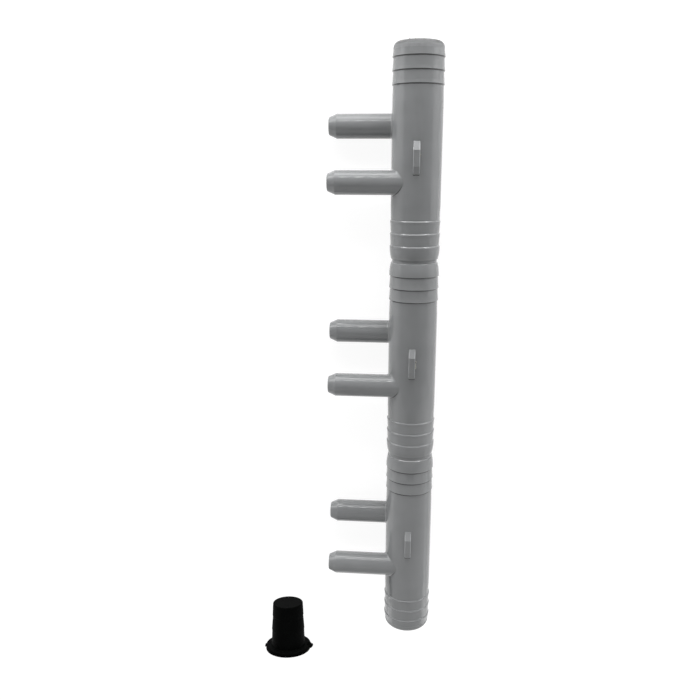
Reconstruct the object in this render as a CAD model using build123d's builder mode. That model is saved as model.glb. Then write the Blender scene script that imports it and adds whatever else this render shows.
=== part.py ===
"""Hose manifold for air or water: a long tube of three like segments moulded as one piece.

Each segment has a barbed stretch at both its ends, two smooth spigots on one side and a
small raised tab. Segments meet barb to barb at a narrow neck, where the strip can be cut.
A loose tapered plug for the open end lies beside the tube.

Frame: origin on the tube's axis at half its length, +Y along the tube, +Z up. The strip
lies as it comes to rest, on its barb crests and on the tips of the lower row of spigots.
"""
from build123d import *
import math
import os

# Strip of segments (millimetres)
segment_count = 3
segment_pitch = 88.9
end_trim = 0.4

# Tube
tube_diameter = 21.3
bore_diameter = 15.6
bore_chamfer = 0.4

# Barb rings, measured from each end of a segment
crest_diameter = 21.7
root_diameter = 21.0
ring_count = 3
first_ring = 6.5
ring_spacing = 5.34
step_run = 0.5
flare_run = 1.2
flare_rise = 0.15
crest_rounding = 0.12
taper_out_run = 6.0

# Neck between two segments, and the rounded lead-in of the barb beside it
neck_diameter = 19.6
neck_width = 1.1
neck_edge_run = 0.35
lead_in_diameter = 20.4
lead_in_bulge = 0.2

# Nose of the two open ends
nose_face_diameter = 17.5
nose_run = 2.2
nose_end_diameter = 20.8
nose_bulge = 0.3

# Smooth spigots
spigot_diameter = 10.3
spigot_bore_diameter = 7.0
spigot_reach = 37.5
spigot_spacing = 23.1
spigot_side_offset = 4.1
spigot_tip_run = 3.5
spigot_tip_diameter = 7.2
spigot_tip_rounding = 0.8
spigot_shoulder_rounding = 2.5
spigot_root_reach = 12.0
spigot_root_gain = 0.16
spigot_root_fillet = 0.7

# Tabs
tab_pitch = 86.9
tab_shift = 0.3
tab_base_length = 13.6
tab_top_length = 6.6
tab_height = 2.3
tab_thickness = 2.9
tab_edge_rounding = 0.4

# End plug
plug_length = 23.4
plug_flange_diameter = 22.2
plug_flange_thickness = 2.3
plug_tip_diameter = 14.8
plug_edge_rounding = 0.5
plug_rib_heights = (10.3, 17.3)
plug_rib_diameters = (16.2, 15.4)
plug_rib_step = 0.15
plug_rib_run = 0.4
plug_root_diameter = 16.5
plug_root_fillet = 0.5
plug_flash_reach = 0.5
plug_flash_width = 2.2
plug_flash_thickness = 0.7

# Where the loose plug lies: beside the tube and past its -Y end, nearly in line with it
plug_side_distance = 58.5
plug_overhang = 17.3
plug_turn = -0.8

tube_radius = tube_diameter / 2
bore_radius = bore_diameter / 2
crest_radius = crest_diameter / 2
root_radius = root_diameter / 2
neck_radius = neck_diameter / 2
spigot_radius = spigot_diameter / 2
half_length = segment_count * segment_pitch / 2 - end_trim

# The strip rolls about its axis until the rounded shoulders of the lower spigots meet the
# floor that the barb crests stand on: a line that touches both circles from below.
floor_z = -crest_radius
shank_reach = spigot_reach - spigot_tip_run
tip_slope = math.atan2(spigot_radius - spigot_tip_diameter / 2, spigot_tip_run)
shoulder_reach = shank_reach - spigot_shoulder_rounding * math.tan(tip_slope / 2)
shoulder_drop = spigot_side_offset + spigot_radius - spigot_shoulder_rounding
shoulder_distance = math.hypot(shoulder_reach, shoulder_drop)
lean = math.asin((crest_radius - spigot_shoulder_rounding) / shoulder_distance) - math.atan2(
    shoulder_drop, shoulder_reach
)
spigot_dir = Vector(-math.cos(lean), 0, -math.sin(lean))
tab_dir = Vector(-math.sin(lean), 0, math.cos(lean))
tube_dir = Vector(0, 1, 0)

segment_centres = [
    ((segment_count - 1) / 2 - index) * segment_pitch for index in range(segment_count)
]
tab_centres = [
    ((segment_count - 1) / 2 - index) * tab_pitch + tab_shift for index in range(segment_count)
]
# Where each spigot leaves the tube's middle plane: the one nearer +Y in the lower row.
spigot_starts = [
    tab_dir * (-row * spigot_side_offset) + tube_dir * (centre + row * spigot_spacing / 2)
    for centre in segment_centres
    for row in (1, -1)
]


def barb_points():
    """Points (distance from the segment's end, radius) from the first crest to the tube."""
    points = []
    for ring in range(ring_count):
        place = first_ring + ring * ring_spacing
        if ring:
            points.append((place - step_run / 2 - flare_run, crest_radius - flare_rise))
        points.append((place - step_run / 2, crest_radius))
        points.append((place + step_run / 2, root_radius))
    points.append((points[-1][0] + taper_out_run, tube_radius))
    return points


def nose_edges(place):
    """Rounded nose of an open end, from the axis over the end face to the first flare."""
    face_edge = place(end_trim, nose_face_diameter / 2)
    nose_end = place(end_trim + nose_run, nose_end_diameter / 2)
    middle = place(
        end_trim + nose_run / 2 - nose_bulge,
        (nose_face_diameter + nose_end_diameter) / 4 + nose_bulge,
    )
    flare_start = place(first_ring - step_run / 2 - flare_run, crest_radius - flare_rise)
    Line(place(end_trim, 0), face_edge)
    ThreePointArc(face_edge, middle, nose_end)
    Line(nose_end, flare_start)
    Line(flare_start, place(first_ring - step_run / 2, crest_radius))


def neck_edges(place):
    """Half of a neck, and the rounded lead-in that rises from it to the first crest."""
    lead_in_start = neck_width / 2 + neck_edge_run
    lead_in_end = first_ring - step_run / 2
    middle = place(
        (lead_in_start + lead_in_end) / 2,
        (lead_in_diameter / 2 + crest_radius) / 2 + lead_in_bulge,
    )
    Line(place(0, neck_radius), place(neck_width / 2, neck_radius))
    Line(place(neck_width / 2, neck_radius), place(lead_in_start, lead_in_diameter / 2))
    ThreePointArc(
        place(lead_in_start, lead_in_diameter / 2), middle, place(lead_in_end, crest_radius)
    )


def outline_edges():
    """Outer half outline of the strip, as (radius, y), closed along the axis."""
    for centre in segment_centres:
        tube_ends = []
        for side in (1, -1):
            end_y = centre + side * segment_pitch / 2

            def place(distance, radius):
                return (radius, end_y - side * distance)

            barbs = [place(*point) for point in barb_points()]
            Polyline(*barbs)
            tube_ends.append(barbs[-1])
            if abs(end_y) > half_length:
                nose_edges(place)
            else:
                neck_edges(place)
        Line(*tube_ends)
    Line((0, -half_length), (0, half_length))


# Tab: a low trapezoid whose slopes run on into the tube's wall
tab_slope_run = (tab_base_length - tab_top_length) / 2
tab_sunk_radius = (bore_radius + tube_radius) / 2
tab_sunk_half = tab_base_length / 2 + tab_slope_run * (tube_radius - tab_sunk_radius) / tab_height
tab_top_radius = tube_radius + tab_height

with BuildPart() as tab:
    with BuildSketch(Plane(origin=(0, 0, 0), x_dir=tube_dir, z_dir=-spigot_dir)):
        with BuildLine():
            Polyline(
                (-tab_sunk_half, tab_sunk_radius),
                (tab_sunk_half, tab_sunk_radius),
                (tab_top_length / 2, tab_top_radius),
                (-tab_top_length / 2, tab_top_radius),
                close=True,
            )
        make_face()
    extrude(amount=tab_thickness / 2, both=True)
    sunk_face = tab.faces().sort_by(Axis((0, 0, 0), tab_dir))[0]
    fillet(tab.edges() - sunk_face.edges(), tab_edge_rounding)

with BuildPart() as manifold:
    with BuildSketch(Plane.XY) as section:
        with BuildLine():
            outline_edges()
        make_face()
        crests = [v for v in section.vertices() if abs(v.X - crest_radius) < 1e-6]
        fillet(crests, crest_rounding)
    revolve(axis=Axis.Y)

    # Smooth spigots, side by side in two rows, solid until their roots are rounded
    for start in spigot_starts:
        with BuildSketch(Plane(origin=start, x_dir=spigot_dir, z_dir=tab_dir)) as shank:
            with BuildLine():
                Polyline(
                    (0, 0),
                    (0, spigot_radius + spigot_root_gain / 2),
                    (spigot_root_reach, spigot_radius),
                    (shank_reach, spigot_radius),
                    (spigot_reach, spigot_tip_diameter / 2),
                    (spigot_reach, 0),
                    close=True,
                )
            make_face()
            corners = shank.vertices().group_by(Axis.X)
            fillet(corners[-1].sort_by(Axis.Y)[-1], spigot_tip_rounding)
            fillet(corners[-2], spigot_shoulder_rounding)
        revolve(axis=Axis(start, spigot_dir))
    fillet(manifold.edges().filter_by(GeomType.BSPLINE), spigot_root_fillet)

    with Locations(*[(0, centre, 0) for centre in tab_centres]):
        add(tab.part)

    # Air passages: one right through the tube, and one out of it through each spigot
    with BuildSketch(Plane.XY):
        with BuildLine():
            Polyline(
                (0, -half_length),
                (bore_radius + bore_chamfer, -half_length),
                (bore_radius, -half_length + bore_chamfer),
                (bore_radius, half_length - bore_chamfer),
                (bore_radius + bore_chamfer, half_length),
                (0, half_length),
                close=True,
            )
        make_face()
    revolve(axis=Axis.Y, mode=Mode.SUBTRACT)
    for start in spigot_starts:
        with BuildSketch(Plane(origin=start, x_dir=tube_dir, z_dir=spigot_dir)):
            Circle(spigot_bore_diameter / 2)
        extrude(amount=spigot_reach, mode=Mode.SUBTRACT)

# The plug lies on its side, on the flange's rim and on the edge of its tip.
plug_flange_radius = plug_flange_diameter / 2
plug_tip_radius = plug_tip_diameter / 2
plug_tilt = math.atan2(
    plug_flange_radius - plug_tip_radius, plug_length - plug_flange_thickness
)
plug_heading = math.radians(plug_turn)
plug_side = Vector(math.cos(plug_heading), -math.sin(plug_heading), 0)
plug_dir = Vector(
    math.sin(plug_heading) * math.cos(plug_tilt),
    math.cos(plug_heading) * math.cos(plug_tilt),
    -math.sin(plug_tilt),
)
plug_base_height = (
    (plug_flange_thickness - plug_edge_rounding) * math.sin(plug_tilt)
    + (plug_flange_radius - plug_edge_rounding) * math.cos(plug_tilt)
    + plug_edge_rounding
)
plug_base = Vector(
    -plug_side_distance, -half_length - plug_overhang, floor_z + plug_base_height
)

rib_points = []
for height, diameter in zip(plug_rib_heights, plug_rib_diameters):
    rib_points.append((diameter / 2 - plug_rib_step, height - plug_rib_run))
    rib_points.append((diameter / 2, height))

with BuildPart() as end_plug:
    section_normal = plug_side.cross(plug_dir)
    with BuildSketch(Plane(origin=plug_base, x_dir=plug_side, z_dir=section_normal)) as half:
        with BuildLine():
            Polyline(
                (0, 0),
                (plug_flange_radius, 0),
                (plug_flange_radius, plug_flange_thickness),
                (plug_root_diameter / 2, plug_flange_thickness),
                *rib_points,
                (plug_tip_radius, plug_length),
                (0, plug_length),
                close=True,
            )
        make_face()
        rim_corners = half.vertices().group_by(Axis.X)[-1]
        tip_corner = half.vertices().group_by(Axis.Y)[-1].sort_by(Axis.X)[-1]
        root_corner = half.vertices().sort_by_distance(
            (plug_root_diameter / 2, plug_flange_thickness)
        )[0]
        fillet([*rim_corners, tip_corner], plug_edge_rounding)
        fillet(root_corner, plug_root_fillet)
    revolve(axis=Axis(plug_base, plug_dir))

    # A trace of flash where the mould closes, on both sides of the flange
    flash_centre = plug_base + plug_dir * (plug_flange_thickness / 2)
    with BuildSketch(Plane(origin=flash_centre, x_dir=plug_side, z_dir=plug_dir)):
        Rectangle(2 * (plug_flange_radius + plug_flash_reach), plug_flash_width)
    extrude(amount=plug_flash_thickness / 2, both=True)

manifold.part.label = "manifold"
end_plug.part.label = "end_plug"
os.makedirs("parts", exist_ok=True)
export_step(manifold.part, "parts/manifold.step")
export_step(end_plug.part, "parts/end_plug.step")
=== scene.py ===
"""Looks for a hose manifold and its loose end plug.

The moulded strip and the plug keep their solids and get procedural finishes: a grey
semi-gloss plastic and a black rubber. What the solids leave out, such as mould flash, burrs
and the rough cut of the open end, is added as small surfaces. Lengths are in metres, and the
frame is the solids' own: +Y along the strip, +Z up from the floor.
"""
import math

import bpy
import numpy as np
from bpy.props import FloatProperty, FloatVectorProperty, PointerProperty
from bpy.types import Operator, Panel, PropertyGroup
from mathutils import Euler, Matrix, Vector


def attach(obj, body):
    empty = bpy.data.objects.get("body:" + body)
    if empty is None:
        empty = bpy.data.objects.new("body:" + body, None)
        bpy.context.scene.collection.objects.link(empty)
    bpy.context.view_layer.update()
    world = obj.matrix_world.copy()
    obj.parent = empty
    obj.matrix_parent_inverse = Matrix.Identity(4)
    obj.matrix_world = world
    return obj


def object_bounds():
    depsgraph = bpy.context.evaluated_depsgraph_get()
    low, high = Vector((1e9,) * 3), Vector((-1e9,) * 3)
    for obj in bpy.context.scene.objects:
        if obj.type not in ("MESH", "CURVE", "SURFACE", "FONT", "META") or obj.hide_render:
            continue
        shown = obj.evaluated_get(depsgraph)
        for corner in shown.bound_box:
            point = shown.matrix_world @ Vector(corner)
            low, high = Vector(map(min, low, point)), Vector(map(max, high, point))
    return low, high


bl_info = {
    "name": "Hose Manifold Looks",
    "version": (1, 0, 0),
    "blender": (4, 5, 0),
    "location": "View3D > Sidebar > Manifold",
    "description": "Finishes, small mould marks, floor, lights and camera for a hose manifold",
    "category": "Object",
}

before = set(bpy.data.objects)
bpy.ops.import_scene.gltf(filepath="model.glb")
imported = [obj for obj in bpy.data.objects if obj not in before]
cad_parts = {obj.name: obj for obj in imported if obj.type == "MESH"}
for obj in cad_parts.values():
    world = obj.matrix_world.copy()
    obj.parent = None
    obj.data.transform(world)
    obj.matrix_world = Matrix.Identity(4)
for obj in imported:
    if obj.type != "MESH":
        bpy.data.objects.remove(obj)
cad_low, cad_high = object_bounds()

FLOOR_HEIGHT = cad_low.z
LAMP_SHARE = 0.5


# Sizes and colours that a user would change

class PlasticSettings(PropertyGroup):
    """Finish of the grey moulding."""

    colour: FloatVectorProperty(
        name="Colour", description="Base colour of the grey plastic", subtype="COLOR",
        size=3, min=0, max=1, default=(0.25, 0.256, 0.26),
    )
    roughness: FloatProperty(
        name="Roughness", description="How blurred the plastic's reflections are",
        subtype="FACTOR", min=0, max=1, default=0.05,
    )
    grain_size: FloatProperty(
        name="Grain size", description="Width of the fine grain of the mould's surface",
        subtype="DISTANCE", unit="LENGTH", min=0.0001, default=0.0006,
    )
    wave_size: FloatProperty(
        name="Wave size", description="Width of the shallow sink marks",
        subtype="DISTANCE", unit="LENGTH", min=0.001, default=0.009,
    )
    speck_spacing: FloatProperty(
        name="Speck spacing", description="Mean distance between two dark specks",
        subtype="DISTANCE", unit="LENGTH", min=0.001, default=0.009,
    )


class RubberSettings(PropertyGroup):
    """Finish of the black end plug."""

    colour: FloatVectorProperty(
        name="Colour", description="Base colour of the black rubber", subtype="COLOR",
        size=3, min=0, max=1, default=(0.0022, 0.0024, 0.0023),
    )
    roughness: FloatProperty(
        name="Roughness", description="How blurred the rubber's reflections are",
        subtype="FACTOR", min=0, max=1, default=0.6,
    )
    grain_size: FloatProperty(
        name="Grain size", description="Width of the rubber's fine grain",
        subtype="DISTANCE", unit="LENGTH", min=0.0001, default=0.0005,
    )


class FlashSettings(PropertyGroup):
    """Thin flash and small burrs left by moulding and cutting."""

    colour: FloatVectorProperty(
        name="Colour", description="Colour of the thin, slightly yellow flash", subtype="COLOR",
        size=3, min=0, max=1, default=(0.32, 0.312, 0.28),
    )
    roughness: FloatProperty(
        name="Roughness", description="How blurred the flash's reflections are",
        subtype="FACTOR", min=0, max=1, default=0.6,
    )
    lean: FloatProperty(
        name="Lean", description="How far the tabs lean from upright about the strip's axis",
        subtype="ANGLE", unit="ROTATION", default=math.radians(-2.75),
    )
    tab_top: FloatProperty(
        name="Tab top", description="Distance of the tabs' flat tops from the strip's axis",
        subtype="DISTANCE", unit="LENGTH", min=0, default=0.01295,
    )
    tab_half_width: FloatProperty(
        name="Tab half width", description="Half the thickness of a tab",
        subtype="DISTANCE", unit="LENGTH", min=0, default=0.00145,
    )
    plug_base: FloatVectorProperty(
        name="Plug base", description="Middle of the plug's flange on its flat side",
        subtype="TRANSLATION", unit="LENGTH", size=3, default=(-0.0585, -0.15025, 0.0004),
    )
    plug_heading: FloatProperty(
        name="Plug heading", description="How far the plug points away from +Y toward +X",
        subtype="ANGLE", unit="ROTATION", default=math.radians(-0.8),
    )
    plug_tilt: FloatProperty(
        name="Plug tilt", description="How far the plug's tip dips toward the floor",
        subtype="ANGLE", unit="ROTATION", default=math.radians(9.946),
    )


class StageSettings(PropertyGroup):
    """Floor, lights and camera."""

    camera_place: FloatVectorProperty(
        name="Camera place", description="Where the camera stands", subtype="TRANSLATION",
        unit="LENGTH", size=3, default=(-0.01485, 0.0847, 0.32047),
    )
    camera_turn: FloatVectorProperty(
        name="Camera turn", description="The camera's rotation", subtype="EULER", size=3,
        unit="ROTATION",
        default=(math.radians(-14.176), math.radians(2.315), math.radians(0.106)),
    )
    focal_length: FloatProperty(
        name="Focal length", description="The camera's focal length in millimetres",
        min=1, default=37.852,
    )
    floor_size: FloatProperty(
        name="Floor size", description="Side of the square floor", subtype="DISTANCE",
        unit="LENGTH", min=0.5, default=8,
    )
    side_light: FloatProperty(
        name="Side light", description="Brightness of the two side panels, where 1 is white",
        min=0, default=1.6,
    )
    top_light: FloatProperty(
        name="Top light", description="Brightness of the panel beyond the +Y end",
        min=0, default=2.5,
    )
    fill_light: FloatProperty(
        name="Fill light", description="Brightness from the +Y side that no reflection shows",
        min=0, default=0.8,
    )
    end_light: FloatProperty(
        name="End light", description="Brightness of the panel beyond the -Y end",
        min=0, default=0.6,
    )
    lamp_row_light: FloatProperty(
        name="Lamp rows", description="Brightness of the small lamps round the +Y panel",
        min=0, default=13.0,
    )
    overhead_light: FloatProperty(
        name="Overhead light", description="Brightness of the surroundings straight above",
        min=0, default=0.17,
    )
    horizon_light: FloatProperty(
        name="Horizon light", description="Brightness low beyond the +Y end",
        min=0, default=4.0,
    )


# Shader helpers

def add_node(tree, kind, inputs=None, **settings):
    """Adds a node, sets its settings, and fills or links its inputs by name or number."""
    made = tree.nodes.new(kind)
    for name, value in settings.items():
        setattr(made, name, value)
    for name, value in (inputs or {}).items():
        if isinstance(value, bpy.types.NodeSocket):
            tree.links.new(value, made.inputs[name])
        else:
            made.inputs[name].default_value = value
    return made


def add_math(tree, operation, *values):
    """Adds a Math node and returns its output."""
    return add_node(tree, "ShaderNodeMath", dict(enumerate(values)), operation=operation).outputs[0]


def new_group(name, inputs, outputs):
    """Starts a shader node group; inputs and outputs are (socket type, name, default)."""
    group = bpy.data.node_groups.new(name, "ShaderNodeTree")
    for in_out, sockets in (("INPUT", inputs), ("OUTPUT", outputs)):
        for kind, label, default in sockets:
            socket = group.interface.new_socket(label, in_out=in_out, socket_type=kind)
            if default is not None:
                socket.default_value = default
    return group, group.nodes.new("NodeGroupInput"), group.nodes.new("NodeGroupOutput")


def moulded_grain_group():
    """Height of a moulded surface: a fine grain over wide, shallow sink marks."""
    group, start, end = new_group(
        "moulded_grain",
        [
            ("NodeSocketVector", "Vector", None),
            ("NodeSocketFloat", "Grain Size", 0.0006),
            ("NodeSocketFloat", "Grain Height", 0.000002),
            ("NodeSocketFloat", "Wave Size", 0.009),
            ("NodeSocketFloat", "Wave Height", 0.00001),
        ],
        [("NodeSocketFloat", "Height", None), ("NodeSocketFloat", "Wave", None)],
    )
    place = start.outputs["Vector"]
    grain = add_node(group, "ShaderNodeTexNoise", {
        "Vector": place,
        "Scale": add_math(group, "DIVIDE", 1.0, start.outputs["Grain Size"]),
        "Detail": 2.0,
    })
    wave = add_node(group, "ShaderNodeTexNoise", {
        "Vector": place,
        "Scale": add_math(group, "DIVIDE", 1.0, start.outputs["Wave Size"]),
        "Detail": 1.0,
    })
    grain_height = add_math(group, "MULTIPLY", grain.outputs["Fac"], start.outputs["Grain Height"])
    wave_height = add_math(group, "MULTIPLY", wave.outputs["Fac"], start.outputs["Wave Height"])
    group.links.new(add_math(group, "ADD", grain_height, wave_height), end.inputs["Height"])
    group.links.new(wave.outputs["Fac"], end.inputs["Wave"])
    return group


def speck_group():
    """Mask of scattered round specks: few cells hold one, and their sizes differ."""
    group, start, end = new_group(
        "specks",
        [
            ("NodeSocketVector", "Vector", None),
            ("NodeSocketFloat", "Spacing", 0.009),
            ("NodeSocketFloat", "Radius", 0.0002),
            ("NodeSocketFloat", "Share", 0.5),
        ],
        [("NodeSocketFloat", "Mask", None)],
    )
    cells = add_node(group, "ShaderNodeTexVoronoi", {
        "Vector": start.outputs["Vector"],
        "Scale": add_math(group, "DIVIDE", 1.0, start.outputs["Spacing"]),
    }, feature="F1")
    draw = add_node(group, "ShaderNodeSeparateColor", {"Color": cells.outputs["Color"]})
    distance = add_math(group, "MULTIPLY", cells.outputs["Distance"], start.outputs["Spacing"])
    radius = add_math(group, "MULTIPLY", start.outputs["Radius"], draw.outputs["Green"])
    inside = add_node(group, "ShaderNodeMapRange", {
        "Value": add_math(group, "DIVIDE", distance, radius),
        "From Min": 1.0, "From Max": 0.5, "To Min": 0.0, "To Max": 1.0,
    })
    held = add_math(group, "LESS_THAN", draw.outputs["Red"], start.outputs["Share"])
    group.links.new(add_math(group, "MULTIPLY", inside.outputs[0], held), end.inputs["Mask"])
    return group


def barb_back_shade_group():
    """Mask of the barbs' steep backs that face -Y, where the colour gets painted shade, and how far
    each point faces +Y.

    A back is told by its slope and by its distance from the strip's axis.
    """
    group, start, end = new_group(
        "barb_back_shade",
        [
            ("NodeSocketVector", "Vector", None),
            ("NodeSocketFloat", "Inner", 0.0104),
            ("NodeSocketFloat", "Outer", 0.01086),
        ],
        [("NodeSocketFloat", "Mask", None), ("NodeSocketFloat", "Facing", None)],
    )
    place = add_node(group, "ShaderNodeVectorMath", {
        0: start.outputs["Vector"], 1: (1, 0, 1),
    }, operation="MULTIPLY").outputs["Vector"]
    radius = add_node(group, "ShaderNodeVectorMath", {0: place}, operation="LENGTH")
    radius = radius.outputs["Value"]
    normal = add_node(group, "ShaderNodeTexCoord").outputs["Normal"]
    facing = add_node(group, "ShaderNodeSeparateXYZ", {"Vector": normal}).outputs["Y"]
    steep = add_node(group, "ShaderNodeMapRange", {
        "Value": facing, "From Min": -0.15, "From Max": -0.4,
    }, interpolation_type="SMOOTHSTEP").outputs[0]
    past = add_math(group, "GREATER_THAN", radius, start.outputs["Inner"])
    within = add_math(group, "LESS_THAN", radius, start.outputs["Outer"])
    ring = add_math(group, "MULTIPLY", past, within)
    group.links.new(add_math(group, "MULTIPLY", ring, steep), end.inputs["Mask"])
    group.links.new(facing, end.inputs["Facing"])
    return group


def scuff_group():
    """Mask of the rough cut ends: 1 beyond Start along Y either way, with a ragged edge."""
    group, start, end = new_group(
        "scuffed_ends",
        [
            ("NodeSocketVector", "Vector", None),
            ("NodeSocketFloat", "Start", 0.1296),
            ("NodeSocketFloat", "Blend", 0.0006),
            ("NodeSocketFloat", "Scratch Width", 0.0003),
        ],
        [("NodeSocketFloat", "Mask", None), ("NodeSocketFloat", "Scratches", None)],
    )
    scratches = add_node(group, "ShaderNodeTexNoise", {
        "Vector": start.outputs["Vector"],
        "Scale": add_math(group, "DIVIDE", 1.0, start.outputs["Scratch Width"]),
        "Detail": 3.0,
    }).outputs["Fac"]
    along = add_node(group, "ShaderNodeSeparateXYZ", {"Vector": start.outputs["Vector"]})
    past = add_math(
        group, "SUBTRACT", add_math(group, "ABSOLUTE", along.outputs["Y"]), start.outputs["Start"]
    )
    share = add_math(group, "DIVIDE", past, start.outputs["Blend"])
    ragged = add_math(group, "ADD", share, add_math(group, "SUBTRACT", scratches, 0.5))
    mask = add_node(group, "ShaderNodeMapRange", {"Value": ragged}, interpolation_type="SMOOTHSTEP")
    group.links.new(mask.outputs[0], end.inputs["Mask"])
    group.links.new(scratches, end.inputs["Scratches"])
    return group


def tab_edge_highlight_group():
    """Mask of the long edges of the tabs' tops, where the colour gets a painted highlight: high
    above the strip's axis, and near a tab's sides, told by the distance across the tab after its
    lean is undone."""
    group, start, end = new_group(
        "tab_edge_highlight",
        [
            ("NodeSocketVector", "Vector", None),
            ("NodeSocketVector", "Across", (1.0, 0.0, 0.0)),
            ("NodeSocketFloat", "Base Height", 0.0112),
            ("NodeSocketFloat", "Inner", 0.00095),
            ("NodeSocketFloat", "Outer", 0.0013),
        ],
        [("NodeSocketFloat", "Mask", None)],
    )
    place = start.outputs["Vector"]
    across = add_node(group, "ShaderNodeVectorMath", {
        0: place, 1: start.outputs["Across"],
    }, operation="DOT_PRODUCT").outputs["Value"]
    edge = add_node(group, "ShaderNodeMapRange", {
        "Value": add_math(group, "ABSOLUTE", across),
        "From Min": start.outputs["Inner"], "From Max": start.outputs["Outer"],
    }, interpolation_type="SMOOTHSTEP").outputs[0]
    height = add_node(group, "ShaderNodeSeparateXYZ", {"Vector": place}).outputs["Z"]
    raised = add_math(group, "GREATER_THAN", height, start.outputs["Base Height"])
    group.links.new(add_math(group, "MULTIPLY", edge, raised), end.inputs["Mask"])
    return group


def place_group(tree, name, make, place, values=None):
    """Adds the shared node group of that name, made the first time, fed with the place."""
    group = bpy.data.node_groups.get(name) or make()
    return add_node(
        tree, "ShaderNodeGroup", {"Vector": place, **(values or {})}, node_tree=group
    )


def start_material(name, roughness, specular, ior):
    """New material with a Principled surface; returns it, its tree, shader and place output."""
    material = bpy.data.materials.new(name)
    material.use_nodes = True
    tree = material.node_tree
    shader = tree.nodes["Principled BSDF"]
    shader.inputs["Roughness"].default_value = roughness
    shader.inputs["Specular IOR Level"].default_value = specular
    shader.inputs["IOR"].default_value = ior
    place = add_node(tree, "ShaderNodeTexCoord").outputs["Object"]
    return material, tree, shader, place


def tinted(tree, colour, factor, low, high):
    """Base colour times a value that runs from low to high as factor runs from 0 to 1."""
    level = add_node(tree, "ShaderNodeMapRange", {
        "Value": factor, "From Min": 0.3, "From Max": 0.7, "To Min": low, "To Max": high,
    })
    return add_node(tree, "ShaderNodeVectorMath", {
        0: tuple(colour), "Scale": level.outputs[0],
    }, operation="SCALE").outputs["Vector"]


def shaded(colour, share):
    """The colour times a share, with an alpha of 1."""
    return (*(share * value for value in colour), 1.0)


def mixed(tree, factor, first, second):
    """Colour mix from first to second."""
    mix = add_node(tree, "ShaderNodeMix", {"Factor": factor}, data_type="RGBA")
    for name, value in (("A_Color", first), ("B_Color", second)):
        socket = next(s for s in mix.inputs if s.identifier == name)
        if isinstance(value, bpy.types.NodeSocket):
            tree.links.new(value, socket)
        else:
            socket.default_value = value
    return next(s for s in mix.outputs if s.identifier == "Result_Color")


def grey_plastic(settings, lean):
    """Semi-gloss grey plastic: fine grain, shallow sink marks and a few dark specks; painted shade
    on the barbs' steep backs and on the cut ends where they face +Y, a painted highlight on the
    tabs' long edges, and rough cut ends."""
    material, tree, shader, place = start_material("grey_plastic", settings.roughness, 0.5, 1.5)
    grain = place_group(tree, "moulded_grain", moulded_grain_group, place, {
        "Grain Size": settings.grain_size, "Grain Height": 0.0000003,
        "Wave Size": settings.wave_size, "Wave Height": 0.000006,
    })
    specks = place_group(tree, "specks", speck_group, place, {
        "Spacing": settings.speck_spacing, "Radius": 0.0003, "Share": 0.35,
    })
    # Barb backs: mask for painted shade, a quarter of the colour on the steep backs that face -Y
    backs = place_group(tree, "barb_back_shade", barb_back_shade_group, place)
    scuffs = place_group(tree, "scuffed_ends", scuff_group, place)
    # Tab edges: mask for a painted highlight, the colour lifted 1.32 times
    edges = place_group(tree, "tab_edge_highlight", tab_edge_highlight_group, place, {
        "Across": (math.cos(lean), 0, -math.sin(lean)),
    })
    # The cut ends get painted shade, half the colour, only where they face +Y; their roughness and
    # scratches are real
    ahead = add_node(tree, "ShaderNodeMapRange", {
        "Value": backs.outputs["Facing"], "From Min": 0.15, "From Max": 0.5,
    }, interpolation_type="SMOOTHSTEP").outputs[0]
    painted_shade_rim = add_math(tree, "MULTIPLY", ahead, scuffs.outputs["Mask"])
    surface = tinted(tree, settings.colour, grain.outputs["Wave"], 0.97, 1.03)
    # Specks are real dark flecks; the other three masks paint shade or a highlight into the colour
    for mask, share in (
        (specks.outputs["Mask"], 0.45),
        (backs.outputs["Mask"], 0.25),
        (painted_shade_rim, 0.5),
        (edges.outputs["Mask"], 1.32),
    ):
        surface = mixed(tree, mask, surface, shaded(settings.colour, share))
    tree.links.new(surface, shader.inputs["Base Color"])
    rough_end = 0.55
    rough = add_node(tree, "ShaderNodeMapRange", {
        "Value": scuffs.outputs["Mask"], "To Min": settings.roughness, "To Max": rough_end,
    })
    tree.links.new(rough.outputs[0], shader.inputs["Roughness"])
    scratch_depth = 0.00004
    scratches = add_math(tree, "MULTIPLY", scuffs.outputs["Scratches"], scuffs.outputs["Mask"])
    scratches = add_math(tree, "MULTIPLY", scratches, scratch_depth)
    height = add_math(tree, "ADD", grain.outputs["Height"], scratches)
    bump = add_node(tree, "ShaderNodeBump", {"Height": height, "Distance": 1.0})
    tree.links.new(bump.outputs["Normal"], shader.inputs["Normal"])
    return material


def black_rubber(settings):
    """Dull black rubber: grain, a little pale dust."""
    material, tree, shader, place = start_material("black_rubber", settings.roughness, 0.012, 1.5)
    grain = place_group(tree, "moulded_grain", moulded_grain_group, place, {
        "Grain Size": settings.grain_size, "Grain Height": 0.000008,
        "Wave Size": 0.006, "Wave Height": 0.00004,
    })
    specks = place_group(tree, "specks", speck_group, place, {
        "Spacing": 0.004, "Radius": 0.00012, "Share": 0.5,
    })
    body = tinted(tree, settings.colour, grain.outputs["Wave"], 0.85, 1.15)
    dust = (0.012, 0.012, 0.0115, 1.0)
    tree.links.new(mixed(tree, specks.outputs["Mask"], body, dust), shader.inputs["Base Color"])
    bump = add_node(tree, "ShaderNodeBump", {"Height": grain.outputs["Height"], "Distance": 1.0})
    tree.links.new(bump.outputs["Normal"], shader.inputs["Normal"])
    return material


def dress(node, material):
    """Gives a solid's own mesh that material."""
    slots = node.data.materials
    slots.clear()
    slots.append(material)


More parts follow.
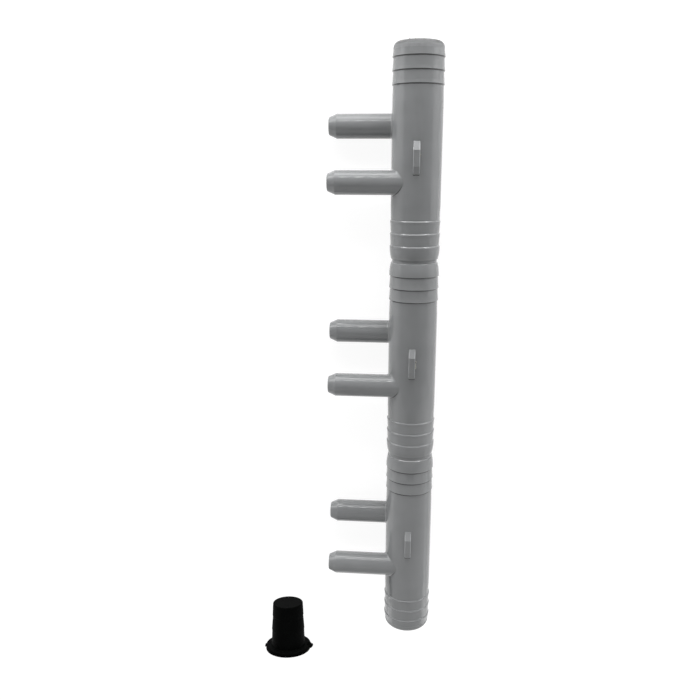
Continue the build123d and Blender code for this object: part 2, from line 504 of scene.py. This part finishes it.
class MANIFOLD_OT_dress_strip(Operator):
    """Gives the moulded strip its grey plastic"""

    bl_idname = "manifold.dress_strip"
    bl_label = "Dress strip"

    def execute(self, context):
        scene = context.scene
        plastic = grey_plastic(scene.manifold_plastic, scene.manifold_flash.lean)
        dress(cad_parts["manifold"], plastic)
        return {"FINISHED"}


class MANIFOLD_OT_dress_plug(Operator):
    """Gives the end plug its black rubber"""

    bl_idname = "manifold.dress_plug"
    bl_label = "Dress plug"

    def execute(self, context):
        dress(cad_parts["end_plug"], black_rubber(context.scene.manifold_rubber))
        return {"FINISHED"}


# Small moulding marks

def link_object(name, data):
    """Puts a new object with that data into the scene."""
    made = bpy.data.objects.new(name, data)
    bpy.context.scene.collection.objects.link(made)
    return made


def lump_surface(centre, axes, radii, phase):
    """Points and faces of one uneven lump.

    Each point lies along a direction of the unit sphere, told by its angle round the first
    axis and its angle from that axis. Its distance is 1 plus 0.22 times the sine of three
    times the first angle, and less 0.18 times the cosine of five times it, both shifted by
    the phase and fading to nothing at the two poles, so that the lump closes there. The
    three radii then stretch it along its axes. Quads join neighbouring rings of points, and
    triangles join the end rings to the poles, all facing outwards.
    """
    rings, columns = 8, 12
    polar, round_angle = np.meshgrid(
        np.linspace(0, np.pi, rings + 2)[1:-1],
        np.arange(columns) * 2 * np.pi / columns,
        indexing="ij",
    )
    swell = 0.22 * np.sin(3 * round_angle + phase) - 0.18 * np.cos(5 * round_angle + 2 * phase)
    distance = 1 + swell * np.sin(polar) ** 2
    unit = distance[..., None] * np.stack([
        np.cos(polar),
        np.sin(polar) * np.cos(round_angle),
        np.sin(polar) * np.sin(round_angle),
    ], axis=-1)
    points = np.vstack([unit.reshape(-1, 3), (1, 0, 0), (-1, 0, 0)])
    points = centre + (points * radii) @ axes
    first_pole, last_pole = len(points) - 2, len(points) - 1
    here = np.arange(columns)
    beside = np.roll(here, -1)
    starts = np.arange(rings - 1)[:, None] * columns
    quads = np.stack([
        starts + here, starts + columns + here, starts + columns + beside, starts + beside,
    ], axis=-1).reshape(-1, 4)
    end = (rings - 1) * columns
    caps = np.vstack([
        np.column_stack([np.full(columns, first_pole), here, beside]),
        np.column_stack([np.full(columns, last_pole), end + beside, end + here]),
    ])
    return points, quads.tolist() + caps.tolist()


def add_lumps(name, lumps, material):
    """Adds one piece made of lumps, each given as a centre, axes, radii and a phase."""
    points, faces = [], []
    for centre, axes, radii, phase in lumps:
        start = len(points)
        made_points, made_faces = lump_surface(
            np.array(centre), np.array(axes), np.array(radii), phase
        )
        points.extend(made_points.tolist())
        faces.extend([start + index for index in face] for face in made_faces)
    mesh = bpy.data.meshes.new(name)
    mesh.from_pydata(points, [], faces)
    mesh.materials.append(material)
    mesh.polygons.foreach_set("use_smooth", [True] * len(mesh.polygons))
    piece = link_object(name, mesh)
    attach(piece, "root")
    return piece


def thin_flash(settings):
    """Thin flash: pale and slightly yellow, with uneven patches."""
    material, tree, shader, place = start_material("thin_flash", settings.roughness, 0.4, 1.5)
    grain = place_group(tree, "moulded_grain", moulded_grain_group, place, {
        "Grain Size": 0.0002, "Grain Height": 0.00001,
        "Wave Size": 0.0006, "Wave Height": 0.00002,
    })
    body = tinted(tree, settings.colour, grain.outputs["Wave"], 0.6, 1.3)
    tree.links.new(body, shader.inputs["Base Color"])
    bump = add_node(tree, "ShaderNodeBump", {"Height": grain.outputs["Height"], "Distance": 1.0})
    tree.links.new(bump.outputs["Normal"], shader.inputs["Normal"])
    return material


class MANIFOLD_OT_add_tab_burrs(Operator):
    """Adds slivers of flash on the edges of the middle tab and of the +Y tab

    A sliver is a lump as in lump_surface, long along Y. Its centre lies on the tab's top edge:
    the tab's direction times its top distance, plus the tab's side direction times its half
    width and a small overhang. Both directions follow from the lean.
    """

    bl_idname = "manifold.add_tab_burrs"
    bl_label = "Add tab burrs"

    def execute(self, context):
        flash = context.scene.manifold_flash
        upright = np.array((math.sin(flash.lean), 0, math.cos(flash.lean)))
        beside = np.array((math.cos(flash.lean), 0, -math.sin(flash.lean)))
        axes = (beside, (0, 1, 0), upright)
        lumps = []
        for y, overhang, half_length, phase in (
            (0.00205, 0.00025, 0.00035, 0.4),
            (0.0008, 0.00012, 0.0005, 1.9),
            (-0.0003, 0.00013, 0.0008, 3.1),
            (0.0882, 0.00005, 0.0006, 2.2),
        ):
            centre = upright * (flash.tab_top - 0.0002) + beside * (
                flash.tab_half_width + overhang
            ) + np.array((0, y, 0))
            lumps.append((centre, axes, (overhang + 0.00012, half_length, 0.00012), phase))
        add_lumps("tab_burrs", lumps, thin_flash(flash))
        return {"FINISHED"}


class MANIFOLD_OT_add_rim_nicks(Operator):
    """Adds small nicks on the rim of the +Y end and on the joint between two segments

    A nick is a lump as in lump_surface, flat along the strip's radius. Its centre lies at an
    angle from +Z toward +X about the strip's axis: X is the distance times the angle's sine,
    Z is the distance times its cosine.
    """

    bl_idname = "manifold.add_rim_nicks"
    bl_label = "Add rim nicks"

    def execute(self, context):
        lumps = []
        for y, distance, degrees, half_width, half_length, phase in (
            (0.1326, 0.00935, -52, 0.0005, 0.0002, 0.3),
            (0.1328, 0.0092, -27, 0.0003, 0.0002, 1.2),
            (0.1328, 0.0092, -12, 0.0004, 0.00015, 2.6),
            (0.1328, 0.0092, 9, 0.0003, 0.00015, 4.0),
            (0.1326, 0.00935, 44, 0.0006, 0.0002, 5.1),
            (0.0391, 0.0105, 46.1, 0.0003, 0.0002, 0.9),
            (0.0395, 0.0105, 43.5, 0.0002, 0.00015, 2.0),
        ):
            angle = math.radians(degrees)
            outward = np.array((math.sin(angle), 0, math.cos(angle)))
            around = np.array((math.cos(angle), 0, -math.sin(angle)))
            centre = outward * distance + np.array((0, y, 0))
            lumps.append((centre, (around, (0, 1, 0), outward), (
                half_width, half_length, 0.00012), phase))
        flash = context.scene.manifold_flash
        add_lumps("rim_nicks", lumps, thin_flash(flash))
        return {"FINISHED"}


class MANIFOLD_OT_add_plug_lug(Operator):
    """Adds the flat lug of mould flash on the +X side of the plug's flange

    The lug is a lump as in lump_surface, flat along the plug's own direction. Its centre lies
    at the middle of the flange's base, plus the plug's side direction times the lug's reach,
    plus the plug's direction times its height. The plug points along +Y, turned by its heading
    about Z and dipping toward the floor by its tilt.
    """

    bl_idname = "manifold.add_plug_lug"
    bl_label = "Add plug lug"

    def execute(self, context):
        flash = context.scene.manifold_flash
        heading, tilt = flash.plug_heading, flash.plug_tilt
        beside = np.array((math.cos(heading), -math.sin(heading), 0))
        ahead = np.array((
            math.sin(heading) * math.cos(tilt), math.cos(heading) * math.cos(tilt), -math.sin(tilt)
        ))
        upward = np.cross(beside, ahead)
        centre = np.array(flash.plug_base) + beside * 0.0111 + ahead * 0.0011
        lumps = [
            (centre, (upward, beside, ahead), (0.0024, 0.00115, 0.0006), 0.5),
            (centre + ahead * 0.0008 - beside * 0.0007, (upward, beside, ahead), (
                0.0022, 0.0012, 0.0013), 2.4),
        ]
        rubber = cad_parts["end_plug"].data.materials[0]
        add_lumps("plug_lug", lumps, rubber)
        return {"FINISHED"}


# Stage

def floor_material():
    """White floor that a camera or a reflection sees as white. Near the part its glow, as the
    camera sees it, is painted lower, a painted shade round the part that lets its faint real shadow
    show, and it rises to full white away from it."""
    material = bpy.data.materials.new("floor_white")
    material.use_nodes = True
    tree = material.node_tree
    tree.nodes.clear()
    lit = add_node(tree, "ShaderNodeBsdfDiffuse", {"Color": (0.9, 0.9, 0.9, 1)})
    reflected_level, painted_shade_level, full_white = 0.96, 0.91, 1.0
    light_path = add_node(tree, "ShaderNodeLightPath")
    place = add_node(tree, "ShaderNodeTexCoord").outputs["Object"]
    away = add_node(tree, "ShaderNodeVectorMath", {0: place}, operation="LENGTH").outputs["Value"]
    # Painted shade round the part: the camera sees a weaker glow near it
    painted_shade_near_part = add_node(tree, "ShaderNodeMapRange", {
        "Value": away, "From Min": 0.09, "From Max": 0.17,
        "To Min": painted_shade_level, "To Max": full_white,
    }, interpolation_type="SMOOTHSTEP").outputs[0]
    level = add_node(tree, "ShaderNodeMix", {
        "Factor": light_path.outputs["Is Camera Ray"], "A": reflected_level, "B": painted_shade_near_part,
    })
    plain = add_node(tree, "ShaderNodeEmission", {"Strength": level.outputs[0]})
    shaded = add_node(tree, "ShaderNodeBsdfDiffuse", {"Color": (0.2, 0.2, 0.2, 1)})
    seen = add_node(tree, "ShaderNodeAddShader", {0: plain.outputs[0], 1: shaded.outputs[0]})
    direct = add_math(
        tree, "MAXIMUM", light_path.outputs["Is Camera Ray"], light_path.outputs["Is Glossy Ray"]
    )
    direct = add_math(tree, "MAXIMUM", direct, light_path.outputs["Is Transmission Ray"])
    surface = add_node(tree, "ShaderNodeMixShader", {
        0: direct, 1: lit.outputs[0], 2: seen.outputs[0],
    })
    add_node(tree, "ShaderNodeOutputMaterial", {"Surface": surface.outputs[0]})
    return material


def add_floor(size):
    """Flat square floor under the part."""
    corners = np.array([(-1, -1), (1, -1), (1, 1), (-1, 1)]) * size / 2
    points = np.column_stack([corners, np.full(4, FLOOR_HEIGHT)])
    mesh = bpy.data.meshes.new("floor")
    mesh.from_pydata(points.tolist(), [], [(0, 1, 2, 3)])
    mesh.materials.append(floor_material())
    floor = link_object("floor", mesh)


def set_surroundings(overhead, horizon):
    """Soft surroundings: brightest low beyond the +Y end, and white to the camera."""
    world = bpy.data.worlds.new("surroundings")
    bpy.context.scene.world = world
    world.use_nodes = True
    tree = world.node_tree
    tree.nodes.clear()
    way = add_node(tree, "ShaderNodeTexCoord").outputs["Generated"]
    way = add_node(tree, "ShaderNodeSeparateXYZ", {"Vector": way})
    ahead = add_node(tree, "ShaderNodeMapRange", {
        "Value": way.outputs["Y"], "From Min": 0.1, "From Max": 0.9, "To Max": horizon,
    }, interpolation_type="SMOOTHSTEP")
    low = add_node(tree, "ShaderNodeMapRange", {
        "Value": way.outputs["Z"], "From Min": 0.4, "From Max": 0.0,
    }, interpolation_type="SMOOTHSTEP")
    level = add_math(
        tree, "ADD", add_math(tree, "MULTIPLY", ahead.outputs[0], low.outputs[0]), overhead
    )
    seen = add_node(tree, "ShaderNodeLightPath").outputs["Is Camera Ray"]
    strength = add_node(tree, "ShaderNodeMix", {"Factor": seen, "A": level, "B": 1.0})
    back = add_node(tree, "ShaderNodeBackground", {
        "Color": (1, 1, 1, 1), "Strength": strength.outputs[0],
    })
    add_node(tree, "ShaderNodeOutputWorld", {"Surface": back.outputs[0]})


def add_panel(name, centre, facing, along, size, brightness, lamp_pitch=None, fade=None):
    """Flat lamp.

    A lamp_pitch breaks it along its length into small lamps. Fade is the share of the
    brightness at its start, and it rises evenly to the whole at its far end.
    """
    lamp = bpy.data.lights.new(name, "AREA")
    lamp.shape = "RECTANGLE"
    lamp.size, lamp.size_y = size
    lamp.energy = brightness * math.pi * size[0] * size[1]
    back = -Vector(facing).normalized()
    across = Vector(along).normalized()
    up = back.cross(across)
    panel = link_object(name, lamp)
    turn = Matrix((across, up, back)).transposed().to_4x4()
    panel.matrix_world = Matrix.Translation(centre) @ turn
    panel.visible_camera = False
    lamp.use_nodes = True
    tree = lamp.node_tree
    spot = add_node(tree, "ShaderNodeNewGeometry").outputs["Parametric"]
    length = add_node(tree, "ShaderNodeSeparateXYZ", {"Vector": spot}).outputs["X"]
    strength = tree.nodes["Emission"].inputs["Strength"]
    if lamp_pitch:
        count = add_math(tree, "MULTIPLY", length, size[0] / lamp_pitch)
        lit = add_math(tree, "LESS_THAN", add_math(tree, "FRACT", count), LAMP_SHARE)
        tree.links.new(lit, strength)
    if fade is not None:
        dim = add_node(tree, "ShaderNodeMapRange", {"Value": length, "To Min": fade, "To Max": 1.0})
        tree.links.new(dim.outputs[0], strength)
    return panel


def add_lights(stage):
    """Side panels, a panel beyond each end, rows of small lamps round the +Y panel, and a
    fill beside it that brightens matt surfaces only."""
    side, top, front = 0.35, 0.43, 0.25
    bottom = FLOOR_HEIGHT
    side_top = 0.141
    side_start = -0.3
    row_width = 0.05
    lamp_pitch = 0.0149
    end_place, end_width, end_height = -0.147, 0.8, 0.3
    for sign in (1, -1):
        add_panel(
            "side_panel", (sign * side, (side_start + top) / 2, (side_top + bottom) / 2),
            (-sign, 0, 0), (0, 1, 0), (top - side_start, side_top - bottom), stage.side_light,
            fade=0.1,
        )
        add_panel(
            "side_lamp_row", (sign * front, top - 0.01, (front + bottom) / 2), (-sign, -1, 0),
            (0, 0, 1), (front - bottom, row_width), stage.lamp_row_light, lamp_pitch,
        )
    add_panel(
        "end_panel", (0, end_place, end_height / 2 + bottom), (0, 1, 0), (1, 0, 0),
        (end_width, end_height), stage.end_light,
    )
    add_panel(
        "top_panel", (0, top, (front + bottom) / 2), (0, -1, 0), (0, 0, -1),
        (front - bottom, 2 * front), stage.top_light, fade=0.5,
    )
    add_panel(
        "front_lamp_row", (0, top - 0.02, front), (0, -1, -1), (1, 0, 0),
        (2 * front, row_width), stage.lamp_row_light, lamp_pitch,
    )
    fill = add_panel(
        "fill_panel", (0, top - 0.01, (front + bottom) / 2), (0, -1, 0), (0, 0, -1),
        (front - bottom, 2 * front), stage.fill_light, fade=0.8,
    )
    fill.visible_glossy = False


def add_camera(stage):
    """Camera at the photograph's viewpoint, half a pixel off centre as measured there."""
    photo_width = 700
    data = bpy.data.cameras.new("camera")
    data.lens = stage.focal_length
    data.sensor_width = 36
    data.shift_x = -0.5 / photo_width
    data.shift_y = 0.5 / photo_width
    data.clip_start = 0.01
    camera = link_object("camera", data)
    camera.location = stage.camera_place
    camera.rotation_euler = Euler(stage.camera_turn)
    bpy.context.scene.camera = camera


class MANIFOLD_OT_add_stage(Operator):
    """Adds the white floor, the soft lights and the camera"""

    bl_idname = "manifold.add_stage"
    bl_label = "Add stage"

    def execute(self, context):
        stage = context.scene.manifold_stage
        add_floor(stage.floor_size)
        set_surroundings(stage.overhead_light, stage.horizon_light)
        add_lights(stage)
        add_camera(stage)
        context.scene.view_settings.view_transform = "Standard"
        return {"FINISHED"}


# Add-on set-up

SETTINGS = {
    "manifold_plastic": PlasticSettings,
    "manifold_rubber": RubberSettings,
    "manifold_flash": FlashSettings,
    "manifold_stage": StageSettings,
}
OPERATORS = (
    MANIFOLD_OT_dress_strip,
    MANIFOLD_OT_dress_plug,
    MANIFOLD_OT_add_tab_burrs,
    MANIFOLD_OT_add_rim_nicks,
    MANIFOLD_OT_add_plug_lug,
    MANIFOLD_OT_add_stage,
)


class MANIFOLD_PT_sidebar(Panel):
    """Lists the settings and the operators"""

    bl_idname = "MANIFOLD_PT_sidebar"
    bl_label = "Hose Manifold"
    bl_space_type = "VIEW_3D"
    bl_region_type = "UI"
    bl_category = "Manifold"

    def draw(self, context):
        for name, group in SETTINGS.items():
            box = self.layout.box()
            for prop in group.__annotations__:
                box.prop(getattr(context.scene, name), prop)
        for operator in OPERATORS:
            self.layout.operator(operator.bl_idname)


def register():
    for cls in (*SETTINGS.values(), *OPERATORS, MANIFOLD_PT_sidebar):
        bpy.utils.register_class(cls)
    for name, group in SETTINGS.items():
        setattr(bpy.types.Scene, name, PointerProperty(type=group))


def unregister():
    for name in SETTINGS:
        delattr(bpy.types.Scene, name)
    for cls in reversed((*SETTINGS.values(), *OPERATORS, MANIFOLD_PT_sidebar)):
        bpy.utils.unregister_class(cls)


def main():
    """Makes everything: registers the add-on and runs its operators."""
    register()
    bpy.ops.manifold.dress_strip()
    bpy.ops.manifold.dress_plug()
    bpy.ops.manifold.add_tab_burrs()
    bpy.ops.manifold.add_rim_nicks()
    bpy.ops.manifold.add_plug_lug()
    bpy.ops.manifold.add_stage()


if __name__ == "__main__":
    main()
